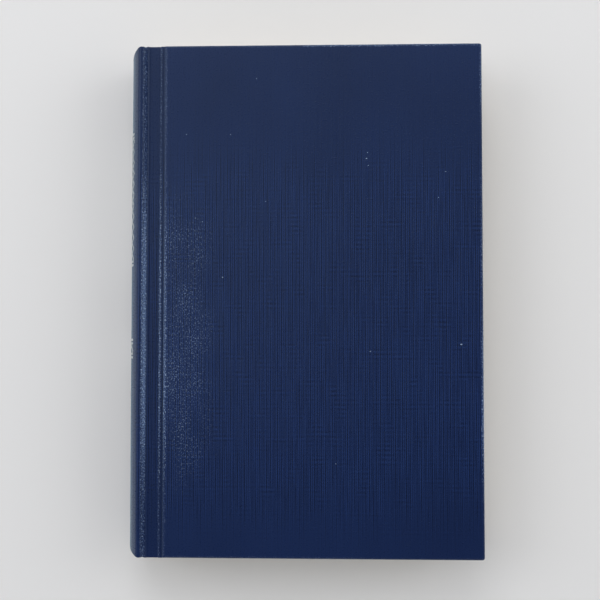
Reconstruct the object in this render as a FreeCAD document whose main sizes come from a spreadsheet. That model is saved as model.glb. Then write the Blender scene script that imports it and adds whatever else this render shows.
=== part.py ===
"""A case-bound hardback book lying on its rear cover, spine towards -X, head towards +Y.

Millimetres, +Z up, origin under the middle of the book. Every piece is symmetrical about the
plane Y = 0, so most are one outline in X and Z, padded equally to head and tail.
Heights are measured up or down from the plane halfway through the thickness of the book.
"""

import FreeCAD, Part
import math
import os

import Sketcher

doc = FreeCAD.newDocument("hardback_book")

# Driving sizes

SIZES = {
    "leaf_height": 186.0,   # head to tail of a leaf
    "leaf_width": 127.0,    # back fold to fore edge of a leaf
    "block": 18.0,          # thickness of the leaves
    "square": 3.0,          # how far the covers stand past the leaves
    "board": 2.4,           # greyboard of a cover
    "cloth": 0.4,           # coated book cloth
    "paper": 0.2,           # endpaper
    "mull": 0.2,            # open gauze over the back of the leaves
    "lining": 0.2,          # paper strip glued over the gauze
    "inlay": 0.4,           # card that stiffens the spine of the case
    "inlay_width": 15.0,    # width of that card
    "hollow": 0.7,          # air between the card and the lining
    "leaf_gap": 0.1,        # air between a flyleaf and its cover
    "run_gap": 0.1,         # air beside each fold of a joint
    "turn_in": 15.0,        # cloth folded over the edges of the boards
    "flap_width": 12.0,     # cloth folded over the ends of the spine card
    "ridge_depth": 5.2,     # spine's outermost line to the middle of a ridge
    "ridge_round": 1.5,     # outer radius of the ridge over a shoulder
    "ridge_drop": 0.2,      # how far a ridge stays below the face of its cover
    "open_gap": 0.4,        # air between the ridge and a cover laid right back
    "bead_width": 0.7,      # pressed line along the groove
    "bead_rise": 0.3,       # height of that line
    "bead_set": 1.65,       # middle of that line to the fold at the board
    "wing": 25.0,           # gauze glued under a board
    "press": 0.1,           # how far a pastedown sinks between the turned-in cloth
    "cap_round": 3.2,       # radius of the spine's corners at head and tail
    "edge_round": 0.6,      # radius of the cloth over the edges of a board
    "band_round": 0.9,      # radius of the bead of a headband
    "band_tape": 10.0,      # height of the tape that carries that bead
}

# Places worked out from the sizes

PLACES = {
    "case_height": "Dim.leaf_height + 2 * Dim.square",
    "board_height": "case_height - 2 * Dim.cloth",
    "mull_height": "case_height - 2 * Dim.turn_in",
    # Heights from the middle plane, outwards through one half of the book
    "leaf_up": "Dim.block / 2",
    "fly_up": "leaf_up + Dim.paper",
    "inner_up": "fly_up + Dim.leaf_gap",
    "turn_up": "inner_up + Dim.paper",
    "fold_up": "turn_up + Dim.mull",
    "joint_up": "fold_up + Dim.cloth",
    "board_in_up": "turn_up + Dim.cloth",
    "board_out_up": "board_in_up + Dim.board",
    "middle": "board_out_up + Dim.cloth",
    # Ridges, and the two round curves of the back, each tangent to both of its ridges
    "back_layers": "Dim.cloth + Dim.inlay + Dim.hollow + Dim.lining + Dim.mull",
    "ridge_up": "middle - Dim.ridge_drop - Dim.ridge_round",
    "tip_round": "Dim.ridge_round - Dim.cloth - Dim.mull",
    "tip_depth": "Dim.ridge_depth - back_layers",
    "spine_radius":
        "(Dim.ridge_depth^2 + ridge_up^2 - Dim.ridge_round^2) / (2 * (Dim.ridge_depth - Dim.ridge_round))",
    "back_radius": "(tip_depth^2 + ridge_up^2 - tip_round^2) / (2 * (tip_depth - tip_round))",
    "back_rise": "back_radius - sqrt(back_radius^2 - leaf_up^2)",
    # Places across the book, from the spine to the fore edge
    "width": "back_layers + Dim.leaf_width + back_rise + Dim.square",
    "spine_x": "-width / 2",
    "block_x": "spine_x + back_layers",
    "ridge_x": "spine_x + Dim.ridge_depth",
    "spine_axis": "spine_x + spine_radius",
    "back_axis": "block_x + back_radius",
    "shoulder_x": "ridge_x + tip_round",
    "fold_a": "ridge_x + Dim.ridge_round + Dim.cloth + Dim.run_gap",
    "joint_width": "(middle - fold_up) + (middle - Dim.ridge_drop - fold_up) + Dim.open_gap",
    "fold_b": "fold_a + joint_width",
    "edge_x": "fold_b + Dim.cloth + Dim.bead_rise + Dim.run_gap",
    "fore_x": "width / 2",
    "leaf_x": "fore_x - Dim.square",
    "turned_x": "fore_x - Dim.turn_in",
}

dim = doc.addObject("Spreadsheet::Sheet", "Dim")
dim.Label = "Sizes"
for row, (name, size) in enumerate(SIZES.items(), 1):
    dim.set(f"A{row}", name)
    dim.set(f"B{row}", str(size))
    dim.setAlias(f"B{row}", name)

pos = doc.addObject("Spreadsheet::Sheet", "Pos")
pos.Label = "Places"
for row, (name, formula) in enumerate(PLACES.items(), 1):
    pos.set(f"A{row}", name)
    pos.set(f"B{row}", "=" + formula)
    pos.setAlias(f"B{row}", name)
doc.recompute()


def number(expression):
    """Value of an expression written for the two sheets."""
    result = dim.evalExpression(expression)
    return float(getattr(result, "Value", result))


# Bodies, outlines and features


def new_body(name):
    """An empty body whose label names its piece."""
    body = doc.addObject("PartDesign::Body", name)
    body.Label = name
    return body


def new_sketch(body, role):
    """A sketch on one of the body's own origin planes."""
    sketch = body.newObject("Sketcher::SketchObject", body.Label + "_outline")
    plane = [feature for feature in body.Origin.OriginFeatures if feature.Role == role][0]
    sketch.AttachmentSupport = [(plane, "")]
    sketch.MapMode = "FlatFace"
    return sketch


def arc_middle(start, end, radius, turn):
    """Middle point of the shorter arc from start to end; turn is 1 to the left, -1 to the right."""
    chord = end - start
    half = chord.Length / 2
    left = FreeCAD.Vector(-chord.y, chord.x, 0).normalize()
    rise = radius - math.sqrt(max(radius ** 2 - half ** 2, 0))
    return start + chord * 0.5 - left * (turn * rise)


def add_outline(sketch, corners):
    """Closed outline. A corner is (x, y, bend), and bend, where the stretch to the next corner
    is round, is the arc's radius and its turn."""
    points = [FreeCAD.Vector(number(x), number(y), 0) for x, y, bend in corners]
    first = sketch.GeometryCount
    ends = []
    for i, (x, y, bend) in enumerate(corners):
        start = points[i]
        end = points[(i + 1) % len(points)]
        if bend is None:
            sketch.addGeometry(Part.LineSegment(start, end), False)
            ends.append((1, 2))
            continue
        radius, turn = bend
        through = arc_middle(start, end, number(radius), turn)
        if turn > 0:
            arc = Part.Arc(start, through, end)
            ends.append((1, 2))
        else:
            arc = Part.Arc(end, through, start)
            ends.append((2, 1))
        edge = sketch.addGeometry(arc, False)
        held = sketch.addConstraint(Sketcher.Constraint("Radius", edge, number(radius)))
        sketch.setExpression(f"Constraints[{held}]", radius)
    for i, (x, y, bend) in enumerate(corners):
        after = (i + 1) % len(corners)
        meet = Sketcher.Constraint("Coincident", first + i, ends[i][1], first + after, ends[after][0])
        sketch.addConstraint(meet)
        for kind, place in (("DistanceX", x), ("DistanceY", y)):
            held = sketch.addConstraint(
                Sketcher.Constraint(kind, -1, 1, first + i, ends[i][0], number(place)))
            sketch.setExpression(f"Constraints[{held}]", place)


def pad(body, corners, length):
    """Adds an outline in X and Z, carried equally towards head and tail."""
    sketch = new_sketch(body, "XZ_Plane")
    add_outline(sketch, corners)
    feature = body.newObject("PartDesign::Pad", body.Label + "_pad")
    feature.Profile = sketch
    feature.SideType = "Symmetric"
    feature.setExpression("Length", length)
    doc.recompute()
    return feature


def pocket(body, outlines, length, role="XZ_Plane"):
    """Takes outlines away equally on both sides of their plane, and makes sure that they cut."""
    before = body.Shape.Volume
    sketch = new_sketch(body, role)
    for corners in outlines:
        add_outline(sketch, corners)
    feature = body.newObject("PartDesign::Pocket", body.Label + "_pocket")
    feature.Profile = sketch
    feature.SideType = "Symmetric"
    feature.setExpression("Length", length)
    doc.recompute()
    if body.Shape.Volume >= before:
        raise RuntimeError(f"{feature.Label} cuts nothing")
    return feature


def level(up, side):
    """Z of a height above the middle plane (side 1) or below it (side -1)."""
    return f"Pos.middle + {side} * ({up})"


def slab(left, right, low, high, side):
    """Rectangle between two places across the book and two heights on one side of the middle."""
    return [
        (left, level(low, side), None),
        (right, level(low, side), None),
        (right, level(high, side), None),
        (left, level(high, side), None),
    ]


def reverse(path):
    """The same path walked the other way, so that its arcs turn the other way too."""
    bends = [bend and (bend[0], -bend[1]) for x, y, bend in reversed(path[:-1])] + [None]
    return [(x, y, bend) for (x, y, old), bend in zip(reversed(path), bends)]


def on_back(axis, radius, up):
    """Place across the book of the point of a back curve at a height."""
    return f"{axis} - sqrt(({radius})^2 - ({up})^2)"


def over_back(axis, radius, small, foot):
    """Path up one shoulder, over its ridge, round the back and down the other shoulder."""
    side_x = f"Pos.ridge_x + ({small})"
    reach = f"({radius}) / (({radius}) - ({small}))"
    meet_x = f"{axis} + (Pos.ridge_x - {axis}) * {reach}"
    meet_up = f"Pos.ridge_up * {reach}"
    return [
        (side_x, level(foot, 1), None),
        (side_x, level("Pos.ridge_up", 1), (small, 1)),
        (meet_x, level(meet_up, 1), (radius, 1)),
        (meet_x, level(meet_up, -1), (small, 1)),
        (side_x, level("Pos.ridge_up", -1), None),
        (side_x, level(foot, -1), None),
    ]


def back_band(axis, inner, outer, half_width):
    """Closed strip between two round curves of the back."""
    return [
        (on_back(axis, outer, half_width), level(half_width, 1), (outer, 1)),
        (on_back(axis, outer, half_width), level(half_width, -1), None),
        (on_back(axis, inner, half_width), level(half_width, -1), (inner, -1)),
        (on_back(axis, inner, half_width), level(half_width, 1), None),
    ]


def round_caps(body, x, half, radius):
    """Rounds the spine's two corners, seen from above, at head and tail."""
    outlines = []
    for side in (1, -1):
        outlines.append([
            (f"{x} - {radius}", f"{side} * ({half} + {radius})", None),
            (f"{x} - {radius}", f"{side} * ({half} - {radius})", None),
            (x, f"{side} * ({half} - {radius})", (radius, -side)),
            (f"{x} + {radius}", f"{side} * ({half})", None),
            (f"{x} + {radius}", f"{side} * ({half} + {radius})", None),
        ])
    pocket(body, outlines, "6 * Pos.middle", "XY_Plane")


# Leaves: rounded and backed, so that the outermost folds stand up as shoulders and the fore
# edge is hollow by the same curve as the back

text_block = new_body("text_block")
block_back = over_back("Pos.back_axis", "Pos.back_radius", "Pos.tip_round", "Pos.leaf_up")
pad(text_block, block_back + [
    ("Pos.leaf_x", level("Pos.leaf_up", -1), ("Pos.back_radius", -1)),
    ("Pos.leaf_x", level("Pos.leaf_up", 1), None),
], "Dim.leaf_height")


# Back of the leaves: gauze over both shoulders, paper lining between them, headbands

GAUZE_RADIUS = "(Pos.back_radius + Dim.mull)"
LINING_RADIUS = "(Pos.back_radius + Dim.mull + Dim.lining)"

mull = new_body("mull")
gauze_inside = over_back("Pos.back_axis", "Pos.back_radius", "Pos.tip_round", "Pos.inner_up")
gauze_outside = over_back("Pos.back_axis", GAUZE_RADIUS, "(Pos.tip_round + Dim.mull)", "Pos.inner_up")
pad(mull, gauze_outside + reverse(gauze_inside), "Pos.mull_height")

spine_lining = new_body("spine_lining")
pad(spine_lining, back_band("Pos.back_axis", GAUZE_RADIUS, LINING_RADIUS, "Pos.leaf_up"), "Pos.mull_height")


def revolve(body, sketch):
    """Turns an outline about the axis of the back's curve, as far as the leaves reach."""
    feature = body.newObject("PartDesign::Revolution", body.Label + "_turn")
    feature.Profile = sketch
    feature.ReferenceAxis = (sketch, ["V_Axis"])
    feature.Midplane = True
    feature.setExpression("Angle", "2 * asin(Pos.leaf_up / Pos.back_radius)")
    doc.recompute()
    return feature


def back_sketch(body):
    """A sketch in the middle plane whose upright axis is the axis of the back's curve."""
    sketch = new_sketch(body, "XY_Plane")
    sketch.setExpression("AttachmentOffset.Base.x", "Pos.back_axis")
    sketch.setExpression("AttachmentOffset.Base.z", "Pos.middle")
    return sketch


def headband(name, side):
    """Round bead that rests on the ends of the leaves, on a tape glued to their back."""
    body = new_body(name)
    tape = back_sketch(body)
    leaf_end = "Dim.leaf_height / 2"
    add_outline(tape, [
        ("-Pos.back_radius", f"{side} * ({leaf_end} - Dim.band_tape)", None),
        ("-Pos.back_radius", f"{side} * ({leaf_end} + Dim.band_round)", None),
        (f"-{GAUZE_RADIUS}", f"{side} * ({leaf_end} + Dim.band_round)", None),
        (f"-{GAUZE_RADIUS}", f"{side} * ({leaf_end} - Dim.band_tape)", None),
    ])
    revolve(body, tape)
    bead = back_sketch(body)
    middle_x = f"-({GAUZE_RADIUS} - Dim.band_round)"
    middle_y = f"{side} * ({leaf_end} + Dim.band_round)"
    centre = FreeCAD.Vector(number(middle_x), number(middle_y), 0)
    circle = Part.Circle(centre, FreeCAD.Vector(0, 0, 1), number("Dim.band_round"))
    bead.addGeometry(circle, False)
    bead.addConstraint(Sketcher.Constraint("Radius", 0, number("Dim.band_round")))
    bead.addConstraint(Sketcher.Constraint("DistanceX", -1, 1, 0, 3, centre.x))
    bead.addConstraint(Sketcher.Constraint("DistanceY", -1, 1, 0, 3, centre.y))
    for held, place in enumerate(("Dim.band_round", middle_x, middle_y)):
        bead.setExpression(f"Constraints[{held}]", place)
    revolve(body, bead)
    return body


head_band = headband("head_band", 1)
tail_band = headband("tail_band", -1)


# Spine of the case: a curved card, and the cloth over it, turned in round both of its ends

CARD_OUT = "(Pos.spine_radius - Dim.cloth)"
CARD_IN = "(Pos.spine_radius - Dim.cloth - Dim.inlay)"
FLAP_IN = "(Pos.spine_radius - 2 * Dim.cloth - Dim.inlay)"
FLAP_HALF = "(Dim.flap_width / 2)"

spine_inlay = new_body("spine_inlay")
card = back_band("Pos.spine_axis", CARD_IN, CARD_OUT, "(Dim.inlay_width / 2)")
pad(spine_inlay, card, "Pos.board_height")
round_caps(spine_inlay, "(Pos.spine_x + Dim.cloth)", "(Pos.board_height / 2)", "(Dim.cap_round - Dim.cloth)")

spine_wrap = new_body("spine_wrap")
wrap_outside = over_back("Pos.spine_axis", "Pos.spine_radius", "Dim.ridge_round", "Pos.inner_up")
wrap_inside = over_back("Pos.spine_axis", CARD_OUT, "(Dim.ridge_round - Dim.cloth)", "Pos.inner_up")
flap_steps = [
    (on_back("Pos.spine_axis", CARD_OUT, FLAP_HALF), level(FLAP_HALF, 1), None),
    (on_back("Pos.spine_axis", FLAP_IN, FLAP_HALF), level(FLAP_HALF, 1), (FLAP_IN, 1)),
    (on_back("Pos.spine_axis", FLAP_IN, FLAP_HALF), level(FLAP_HALF, -1), None),
    (on_back("Pos.spine_axis", CARD_OUT, FLAP_HALF), level(FLAP_HALF, -1), (CARD_OUT, 1)),
]
wrap_inside[3:3] = flap_steps
pad(spine_wrap, wrap_outside + reverse(wrap_inside), "Pos.case_height")
window = back_band("Pos.spine_axis", FLAP_IN, CARD_OUT, FLAP_HALF)
pocket(spine_wrap, [window], "Pos.mull_height")
round_caps(spine_wrap, "Pos.spine_x", "(Pos.case_height / 2)", "Dim.cap_round")

spine_cloth = doc.addObject("Part::Cut", "spine_cloth")
spine_cloth.Label = "spine_cloth"
spine_cloth.Base = spine_wrap
spine_cloth.Tool = spine_inlay
doc.recompute()


# Flyleaves, joints and covers, the same above and below the middle plane


def flyleaf(name, side):
    """Free half of an endpaper, lying on the leaves."""
    body = new_body(name)
    sheet = slab("Pos.shoulder_x + Dim.run_gap", "Pos.leaf_x", "Pos.leaf_up", "Pos.fly_up", side)
    pad(body, sheet, "Dim.leaf_height")
    return body


JOINT_LEFT = "Pos.fold_a + Dim.run_gap"
JOINT_RIGHT = "Pos.fold_b - Dim.run_gap"


def joint_cloth(name, side):
    """Cloth of the groove, doubled where it is turned in, with a line pressed along it."""
    body = new_body(name)
    bead_left = "Pos.fold_b - Dim.bead_set - Dim.bead_width / 2"
    bead_right = "Pos.fold_b - Dim.bead_set + Dim.bead_width / 2"
    bead_radius = "(Dim.bead_width^2 / 4 + Dim.bead_rise^2) / (2 * Dim.bead_rise)"
    top = level("Pos.joint_up", side)
    low = level("Pos.turn_up", side)
    pad(body, [
        (JOINT_LEFT, low, None),
        (JOINT_RIGHT, low, None),
        (JOINT_RIGHT, top, None),
        (bead_right, top, (bead_radius, side)),
        (bead_left, top, None),
        (JOINT_LEFT, top, None),
    ], "Pos.case_height")
    gauze = slab(JOINT_LEFT, JOINT_RIGHT, "Pos.turn_up", "Pos.fold_up", side)
    pocket(body, [gauze], "Pos.mull_height")
    return body


def joint_strip(name, low, high, height, side):
    """One flat layer under the cloth of a groove."""
    body = new_body(name)
    pad(body, slab(JOINT_LEFT, JOINT_RIGHT, low, high, side), height)
    return body


BOARD_LEFT = "Pos.edge_x + Dim.cloth"
BOARD_RIGHT = "Pos.fore_x - Dim.cloth"


def board_slab(side):
    """Section of a cover board."""
    return slab(BOARD_LEFT, BOARD_RIGHT, "Pos.board_in_up", "Pos.board_out_up", side)


def wing_slab(side):
    """Section of the gauze glued under a board."""
    return slab(BOARD_LEFT, f"{BOARD_LEFT} + Dim.wing", "Pos.board_in_up - Dim.mull", "Pos.board_in_up", side)


def cover_board(name, side):
    """Stiff greyboard of a cover."""
    body = new_body(name)
    pad(body, board_slab(side), "Pos.board_height")
    return body


def cover_cloth(name, side):
    """Cloth round a board, turned in at head, tail and fore edge."""
    body = new_body(name)
    wrap = pad(body, slab("Pos.edge_x", "Pos.fore_x", "Pos.turn_up", "Pos.middle", side), "Pos.case_height")
    outer_z = number(level("Pos.middle", side))
    edges = []
    for index, edge in enumerate(wrap.Shape.Edges, 1):
        box = edge.BoundBox
        on_face = box.ZLength < Part.Precision.confusion() and abs(box.ZMin - outer_z) < number("Dim.cloth")
        if on_face or box.ZLength > number("Dim.board"):
            edges.append(f"Edge{index}")
    softened = body.newObject("PartDesign::Fillet", name + "_edges")
    softened.Base = (wrap, edges)
    softened.setExpression("Radius", "Dim.edge_round")
    doc.recompute()
    pocket(body, [board_slab(side)], "Pos.board_height")
    opening = slab(BOARD_LEFT, "Pos.turned_x", "Pos.turn_up", "Pos.board_in_up", side)
    pocket(body, [opening], "Pos.mull_height")
    return body


def mull_wing(name, side):
    """Gauze glued under the board beside the joint."""
    body = new_body(name)
    pad(body, wing_slab(side), "Pos.mull_height")
    return body


def pastedown(name, side):
    """Glued half of an endpaper: it covers the turned-in cloth and sinks a little between it."""
    body = new_body(name)
    pad(body, slab("Pos.edge_x", "Pos.leaf_x", "Pos.inner_up", "Pos.turn_up", side), "Dim.leaf_height")
    pad(body, slab(BOARD_LEFT, "Pos.turned_x", "Pos.turn_up", "Pos.board_in_up", side), "Pos.mull_height")
    pocket(body, [wing_slab(side)], "Pos.mull_height")
    sunk = slab(BOARD_LEFT, "Pos.turned_x", "Pos.inner_up", "Pos.inner_up + Dim.press", side)
    pocket(body, [sunk], "Pos.mull_height")
    return body


pieces = [text_block, mull, spine_lining, head_band, tail_band, spine_inlay, spine_cloth]
for place, side in (("front", 1), ("rear", -1)):
    pieces += [
        flyleaf(place + "_flyleaf", side),
        joint_cloth(place + "_joint_cloth", side),
        joint_strip(place + "_joint_mull", "Pos.turn_up", "Pos.fold_up", "Pos.mull_height", side),
        joint_strip(place + "_joint_endpaper", "Pos.inner_up", "Pos.turn_up", "Dim.leaf_height", side),
        cover_board(place + "_board", side),
        cover_cloth(place + "_cover_cloth", side),
        mull_wing(place + "_mull_wing", side),
        pastedown(place + "_pastedown", side),
    ]

# Test of every object, then one file for each piece

doc.recompute()
for thing in doc.Objects:
    if "Invalid" in thing.State or "Error" in thing.State:
        raise RuntimeError(f"{thing.Label} is not built: {thing.State}")
for piece in pieces:
    if piece.Shape.isNull() or not piece.Shape.isValid():
        raise RuntimeError(f"{piece.Label} has no valid shape")
    if len(piece.Shape.Solids) != 1:
        raise RuntimeError(f"{piece.Label} has {len(piece.Shape.Solids)} solids")

os.makedirs("parts", exist_ok=True)
for piece in pieces:
    piece.Shape.exportStep(f"parts/{piece.Label}.step")
    box = piece.Shape.BoundBox
    print(f"{piece.Label:22} {piece.Shape.Volume:10.1f} mm3   X {box.XMin:7.2f} {box.XMax:7.2f}"
          f"   Y {box.YMin:7.2f} {box.YMax:7.2f}   Z {box.ZMin:6.2f} {box.ZMax:6.2f}")
for name in ("width", "case_height", "middle", "fold_a", "fold_b", "fold_up", "joint_width", "edge_x"):
    print(name, round(number("Pos." + name), 4))
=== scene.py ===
# %% [markdown]
# # A hardback book in dark blue coated cloth
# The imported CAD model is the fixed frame: boards, gauze, linings and leaves are already where they belong.
# This file puts the surfaces round it that the eye meets, namely cloth with its threads, turned-in edges,
# pressed grooves, leaf edges and headbands, and gives every piece the finish of its real material. All
# lengths below are millimetres in the part's own frame: across the book is X, along the spine is Y, up is
# Z.

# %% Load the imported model
import math

import bpy
import numpy as np
from mathutils import Matrix, Vector


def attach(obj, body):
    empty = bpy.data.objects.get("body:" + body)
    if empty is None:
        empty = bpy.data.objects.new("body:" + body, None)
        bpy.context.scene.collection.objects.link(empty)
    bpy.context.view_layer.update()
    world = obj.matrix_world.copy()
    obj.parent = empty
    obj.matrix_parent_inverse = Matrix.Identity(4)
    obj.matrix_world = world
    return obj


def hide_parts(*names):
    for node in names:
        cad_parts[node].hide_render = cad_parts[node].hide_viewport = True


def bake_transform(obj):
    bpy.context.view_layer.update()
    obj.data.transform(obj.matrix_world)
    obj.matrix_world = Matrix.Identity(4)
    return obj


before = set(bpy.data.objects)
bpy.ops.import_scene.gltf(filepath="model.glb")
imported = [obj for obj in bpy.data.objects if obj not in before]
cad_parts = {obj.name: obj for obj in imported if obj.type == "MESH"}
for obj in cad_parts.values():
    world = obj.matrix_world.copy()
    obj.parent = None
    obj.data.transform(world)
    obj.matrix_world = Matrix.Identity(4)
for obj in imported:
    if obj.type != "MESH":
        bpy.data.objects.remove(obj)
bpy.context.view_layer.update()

MM = 0.001

# %% [markdown]
# ## Camera
# The picture is taken from straight above, with a short telephoto lens a little to the tail side. A camera
# can be placed by eye, or worked out from the outline of the book; the second way is exact, so the lens,
# the place and the small turns about its three axes come from a fit to the edges of the cover, and the
# matrix is their product.

# %% Camera
LENS = 56.4
CAMERA_AT = (10.28, -13.66, 375.4)
TURNS = {"X": 2.188, "Y": 1.889, "Z": -0.041}

camera_data = bpy.data.cameras.new("camera")
camera_data.lens = LENS
camera = bpy.data.objects.new("camera", camera_data)
bpy.context.scene.collection.objects.link(camera)
bpy.context.scene.camera = camera
placing = Matrix.Translation(Vector(CAMERA_AT) * MM)
for axis, degrees in TURNS.items():
    placing = placing @ Matrix.Rotation(math.radians(degrees), 4, axis)
camera.matrix_world = placing
print("camera at", [round(v, 4) for v in placing.translation])

# %% [markdown]
# ## Meshes from whole arrays
# Every new piece is a closed skin: a grid of points worked out in one go, joined by four-sided faces. The
# same few helpers serve them all. A piece also carries its thread coordinates, in millimetres across and
# along the cloth, so that a weave follows the cloth round edges and ridges instead of being projected
# through it.


# %% Helpers for meshes
MIDDLE = 12.7          # mm, height of the book's middle plane, from which all other heights are counted


def quads(index):
    """Four-sided faces between the neighbouring rows and columns of a table of point numbers."""
    corners = [index[:-1, :-1], index[:-1, 1:], index[1:, 1:], index[1:, :-1]]
    return np.stack(corners, axis=-1).reshape(-1, 4).tolist()


def grid_faces(rows, cols, closed=False):
    """Faces of a grid of points stored row by row; closed joins the last column to the first."""
    index = np.arange(rows * cols).reshape(rows, cols)
    return quads(np.concatenate([index, index[:, :1]], axis=1) if closed else index)


def tube_faces(rows, cols):
    """Faces of a closed grid, with one more face over each of its two ends."""
    last = (rows - 1) * cols
    ends = [list(range(cols))[::-1], list(range(last, last + cols))]
    return grid_faces(rows, cols, closed=True) + ends


def spaced(low, high, step, fine=None, margin=0.0):
    """Places from low to high about one step apart, and one fine step apart within a margin of both
    ends."""
    if not margin:
        return np.linspace(low, high, max(2, round((high - low) / step) + 1))
    count = max(2, round(margin / fine) + 1)
    inner = np.linspace(low + margin, high - margin, max(2, round((high - low - 2 * margin) / step) + 1))
    return np.concatenate([np.linspace(low, low + margin, count)[:-1], inner,
                           np.linspace(high - margin, high, count)[1:]])


def closed_piece(name, points, faces, finish, threads=None, rubbed=None, sharp=50.0):
    """Mesh of a closed skin. Its enclosed volume, the sum of the tetrahedra from the origin to each face,
    tells whether the faces point outwards, and they are turned round if it is negative."""
    points = points.reshape(-1, 3)
    mesh = bpy.data.meshes.new(name)
    mesh.from_pydata((points * MM).tolist(), [], faces)
    mesh.calc_loop_triangles()
    triangles = np.zeros(len(mesh.loop_triangles) * 3, dtype=np.int32)
    mesh.loop_triangles.foreach_get("vertices", triangles)
    a, b, c = points[triangles.reshape(-1, 3).T]
    volume = float(np.einsum("ij,ij->i", a, np.cross(b, c)).sum() / 6)
    if volume < 0:
        mesh.flip_normals()
    # The second attribute is each point's share of wear and painted highlight.
    for label, kind, field, values in (("threads", "FLOAT_VECTOR", "vector", threads),
                                       ("rubbed", "FLOAT", "value", rubbed)):
        if values is not None:
            layer = mesh.attributes.new(label, kind, "POINT")
            layer.data.foreach_set(field, np.asarray(values, dtype=np.float32).ravel())
    mesh.shade_smooth()
    mesh.set_sharp_from_angle(angle=math.radians(sharp))
    mesh.materials.append(finish)
    piece = bpy.data.objects.new(name, mesh)
    bpy.context.scene.collection.objects.link(piece)
    print(f"{name}: {len(triangles) // 3} triangles, {abs(volume) / 1000:.2f} cm3")
    return piece


def on_arc(axis, radius, angle, along):
    """Points (x, y, z) at an angle on an arc that bulges towards the spine: x = axis - radius cos(angle)."""
    x, up = axis - radius * np.cos(angle), MIDDLE + radius * np.sin(angle)
    return np.stack(np.broadcast_arrays(x, along, up), axis=-1)


def hills(across, along, size_across, size_along, seed):
    """Smooth random heights from -1 to 1: a seeded table of random numbers, one for each cell of the given
    size, blended between neighbours with the curve 3t^2 - 2t^3."""
    cells = 512
    table = np.random.default_rng(seed).uniform(-1, 1, (cells, cells))
    u, v = across / size_across, along / size_along
    iu, iv = np.floor(u).astype(int), np.floor(v).astype(int)
    fu, fv = u - iu, v - iv
    fu, fv = fu * fu * (3 - 2 * fu), fv * fv * (3 - 2 * fv)
    corner = lambda du, dv: table[(iu + du) % cells, (iv + dv) % cells]
    low = corner(0, 0) * (1 - fu) + corner(1, 0) * fu
    high = corner(0, 1) * (1 - fu) + corner(1, 1) * fu
    return low * (1 - fv) + high * fv


# %% [markdown]
# ## Materials
# A finish starts from what it is and how it was made. One function turns hex colours to the linear values
# that shaders use, and one adds a node with its settings and links; each material is then a short list of
# such calls.


# %% Helpers for materials
def linear(code):
    """A colour written in hex as sRGB, turned to linear light by the standard's own curve."""
    parts = [int(code[i:i + 2], 16) / 255 for i in (1, 3, 5)]
    return tuple(p / 12.92 if p <= 0.04045 else ((p + 0.055) / 1.055) ** 2.4 for p in parts) + (1.0,)


SMOOTH = {"interpolation_type": "SMOOTHSTEP"}
RGBA = {"data_type": "RGBA"}


def add(tree, kind, settings=None, inputs=None):
    """Adds one node. settings are its own properties. An input is a plain value, another node's output, or
    another node, whose first output is meant."""
    made = tree.nodes.new("ShaderNode" + kind)
    for key, value in (settings or {}).items():
        setattr(made, key, value)
    for key, value in (inputs or {}).items():
        if isinstance(value, bpy.types.Node):
            value = value.outputs[0]
        if isinstance(value, bpy.types.NodeSocket):
            tree.links.new(value, made.inputs[key])
        else:
            made.inputs[key].default_value = value
    return made


def new_material(name):
    """A material with an empty node tree."""
    made = bpy.data.materials.new(name)
    made.use_nodes = True
    made.node_tree.nodes.clear()
    return made, made.node_tree


# %% [markdown]
# ## Book cloth
# The cover is a cotton cloth, dyed dark blue, filled and coated with a thin layer of plastic that is
# embossed with a linen grain. The eye reads it by upright threads, every second one stronger, by weaker
# cross threads, and by small glints where the coating turns over a thread; these glints are painted
# highlights in the colour. The pattern could be projected on the book from above, but it would smear down
# the edges, so every part of it runs on the cloth's own thread coordinates. All parts are uneven, and one
# loop makes their random fields.

# %% Book cloth: colours, spacing and random fields
RIB = 0.68             # mm between the upright threads
PICK = 1.7             # mm between the cross threads
CLOTH_DARK = "#09132f"
CLOTH_BLUE = "#1a2c57"
# A paler blue where the coating is thin from wear, also used as a painted highlight, and then a painted
# glint:
CLOTH_WORN_AND_HIGHLIGHT = "#5f7499"
CLOTH_PAINTED_GLINT = "#9fb2cd"
ONE_WAVE = 2 * math.pi / 20    # a wave texture's scale that gives one wave for each unit
FIELDS = {             # mm across and mm along one patch, layers of detail, their roughness
    "rib_runs": (0.9, 20.0, 1.0, 0.6),
    "pick_runs": (9.0, 6.0, 2.0, 0.6),
    "specks": (0.55, 0.62, 0.0, 0.5),
    "drift": (40.0, 60.0, 2.0, 0.5),
    "grain": (0.4, 0.5, 1.0, 0.5),
}

book_cloth, tree = new_material("book_cloth_dyed_embossed_coated")
threads = add(tree, "Attribute", {"attribute_name": "threads"}).outputs["Vector"]
rubbed = add(tree, "Attribute", {"attribute_name": "rubbed"}).outputs["Fac"]
field = {}
for name, (wide, long, detail, roughness) in FIELDS.items():
    stretched = add(tree, "Mapping", {}, {"Vector": threads, "Scale": (1 / wide, 1 / long, 1.0)})
    noise = add(tree, "TexNoise", {"noise_dimensions": "2D"}, {
        "Vector": stretched, "Scale": 1.0, "Detail": detail, "Roughness": roughness})
    field[name] = noise
print("material", book_cloth.name, "with fields", sorted(field))

# %% [markdown]
# ## Threads of the book cloth
# On the real cloth the embossing roller leaves one low ridge for each thread. They could be a picture, but
# waves stay sharp from near. An upright thread is one wave about a mean of nothing, that wanders a little
# and is stronger in some runs; a wave of twice the length on the same lines lets every second thread stand
# out. Cross threads are made alike, but are weaker and seen in patches only.

# %% Book cloth: upright and cross threads
PAIR_SHARE = 0.42      # height of the longer wave beside the single threads

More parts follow.
